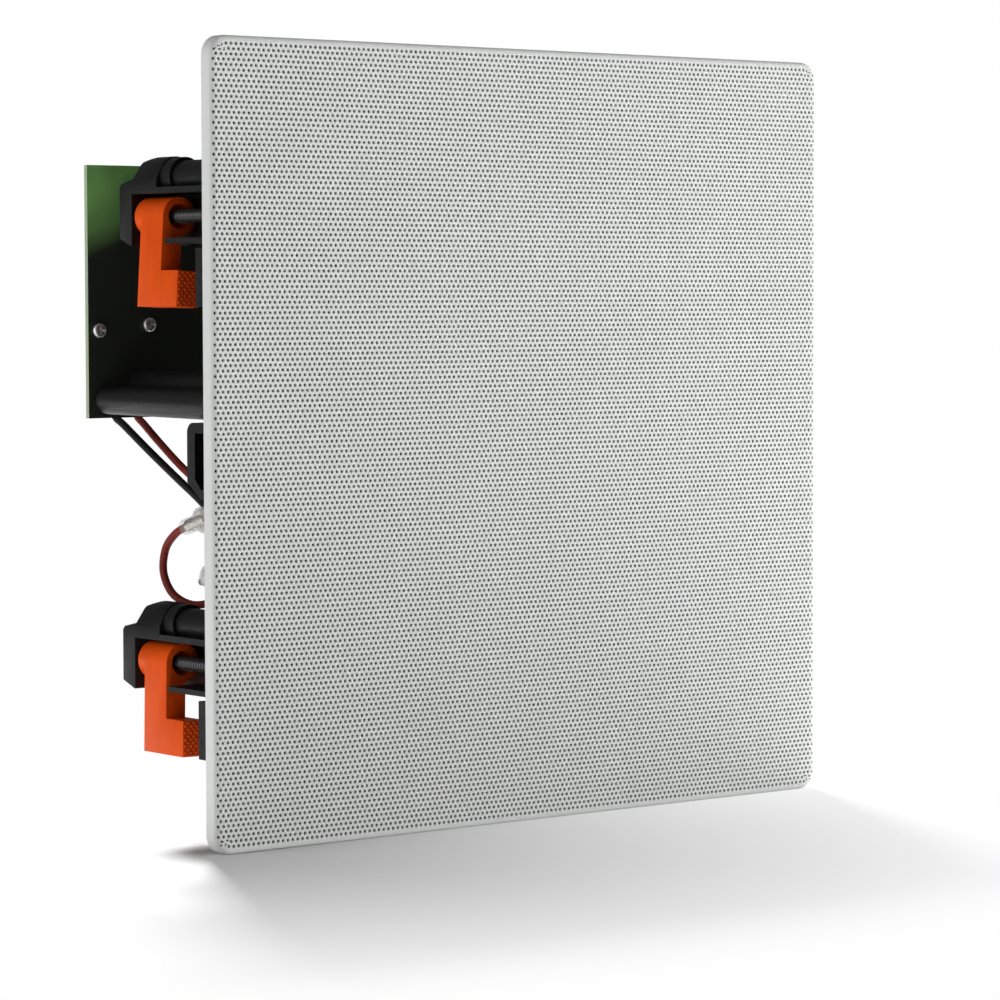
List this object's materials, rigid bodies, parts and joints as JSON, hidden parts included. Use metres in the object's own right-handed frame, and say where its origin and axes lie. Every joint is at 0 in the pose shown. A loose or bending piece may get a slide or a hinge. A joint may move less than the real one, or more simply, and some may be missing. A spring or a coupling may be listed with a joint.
{
  "type": "ceiling speaker",
  "caption": "Square in-ceiling loudspeaker with a perforated metal grille, swing-out dog-leg clamps, a coaxial woofer and tweeter and an open crossover board on pillars.",
  "frame": {"origin": "centre of the cut-out, in the plane of the flange's rear face that seats on the ceiling board", "axes": "+Y into the ceiling, along the driver's axis; the grille faces -Y; +Z towards the side that carries the crossover board"},
  "size_m": [0.23, 0.1096, 0.23],
  "materials": {
    "grille_paint": "satin white powder coat",
    "cloth": "fine woven cloth",
    "magnet_plating": "nickel plated",
    "frame_plastic": "fine texture",
    "cap_plastic": "satin",
    "black_steel": "black zinc",
    "clamp_plastic": "satin orange",
    "basket_paint": "satin black",
    "surround_rubber": "matte",
    "cone_paper": "pressed pulp",
    "spider_cloth": "resin-dipped cloth",
    "coil_former": "wound former",
    "motor_steel": "zinc plated",
    "ferrite": "sintered ferrite",
    "tweeter_plastic": "satin",
    "dome_metal": "satin",
    "board_green": "green solder mask",
    "bright_steel": "bright zinc",
    "copper_wire": "enamelled copper",
    "capacitor_sleeve": "shrink sleeve",
    "resistor_ceramic": "matte cement",
    "terminal_plastic": "satin",
    "lever_red": "gloss red",
    "strip_board": "laminate",
    "tinned_brass": "tinned",
    "clear_sleeve": "clear vinyl",
    "lead_red": "vinyl insulation",
    "lead_black": "vinyl insulation"
  },
  "bodies": {
    "root": {"grille": "grille_paint", "grille_cloth": "cloth", "grille_magnets": "magnet_plating", "frame": "frame_plastic", "end_cap_1": "cap_plastic", "end_cap_2": "cap_plastic", "end_cap_3": "cap_plastic", "end_cap_4": "cap_plastic", "cap_screws": "black_steel", "basket": "basket_paint", "woofer_screws": "black_steel", "surround": "surround_rubber", "spider": "spider_cloth", "top_plate": "motor_steel", "ring_magnet": "ferrite", "back_plate": "motor_steel", "tweeter_post": "tweeter_plastic", "tweeter_housing": "tweeter_plastic", "tweeter_dome": "dome_metal", "tweeter_ring": "tweeter_plastic", "board_pillars": "cap_plastic", "circuit_board": "board_green", "pillar_screws": "bright_steel", "board_screws": "bright_steel", "inductors": "copper_wire", "capacitors": "capacitor_sleeve", "resistors": "resistor_ceramic", "terminal_block": "terminal_plastic", "terminal_strip": "strip_board", "push_on_terminals": "tinned_brass", "terminal_sleeves": "clear_sleeve", "red_lead": "lead_red", "black_lead": "lead_black"},
    "cone": {"cone": "cone_paper", "voice_coil": "coil_former"},
    "clamp_screw_1": {"clamp_screw_1": "black_steel"},
    "clamp_screw_2": {"clamp_screw_2": "black_steel"},
    "clamp_screw_3": {"clamp_screw_3": "black_steel"},
    "clamp_screw_4": {"clamp_screw_4": "black_steel"},
    "dog_leg_1": {"dog_leg_1": "clamp_plastic"},
    "dog_leg_2": {"dog_leg_2": "clamp_plastic"},
    "dog_leg_3": {"dog_leg_3": "clamp_plastic"},
    "dog_leg_4": {"dog_leg_4": "clamp_plastic"},
    "terminal_lever_red": {"terminal_lever_red": "lever_red"},
    "terminal_lever_black": {"terminal_lever_black": "terminal_plastic"}
  },
  "joints": [
    {"name": "clamp_swing_1", "type": "hinge", "parent": "root", "child": "dog_leg_1", "pos_m": [-0.093, 0.05, 0.0655], "axis": [0, 1, 0], "range_deg": [-3.5, 86.5]},
    {"name": "clamp_swing_2", "type": "hinge", "parent": "root", "child": "dog_leg_2", "pos_m": [-0.093, 0.05, -0.0655], "axis": [0, 1, 0], "range_deg": [-1, 89]},
    {"name": "clamp_swing_3", "type": "hinge", "parent": "root", "child": "dog_leg_3", "pos_m": [0.093, 0.05, 0.0655], "axis": [0, 1, 0], "range_deg": [-1.5, 88.5]},
    {"name": "clamp_swing_4", "type": "hinge", "parent": "root", "child": "dog_leg_4", "pos_m": [0.093, 0.05, -0.0655], "axis": [0, 1, 0], "range_deg": [-1, 89]},
    {"name": "screw_turn_1", "type": "hinge", "parent": "root", "child": "clamp_screw_1", "pos_m": [-0.093, 0.03, 0.0655], "axis": [0, 1, 0], "continuous": true},
    {"name": "screw_turn_2", "type": "hinge", "parent": "root", "child": "clamp_screw_2", "pos_m": [-0.093, 0.03, -0.0655], "axis": [0, 1, 0], "continuous": true},
    {"name": "screw_turn_3", "type": "hinge", "parent": "root", "child": "clamp_screw_3", "pos_m": [0.093, 0.03, 0.0655], "axis": [0, 1, 0], "continuous": true},
    {"name": "screw_turn_4", "type": "hinge", "parent": "root", "child": "clamp_screw_4", "pos_m": [0.093, 0.03, -0.0655], "axis": [0, 1, 0], "continuous": true},
    {"name": "cone_travel", "type": "slide", "parent": "root", "child": "cone", "axis": [0, 1, 0], "range_m": [-0.004, 0.004], "stiffness_N_per_m": 1900, "deforming": ["surround", "spider"]},
    {"name": "lever_press_red", "type": "slide", "parent": "root", "child": "terminal_lever_red", "axis": [0, -1, 0], "range_m": [0, 0.0025], "stiffness_N_per_m": 800},
    {"name": "lever_press_black", "type": "slide", "parent": "root", "child": "terminal_lever_black", "axis": [0, -1, 0], "range_m": [0, 0.0025], "stiffness_N_per_m": 800}
  ]
}
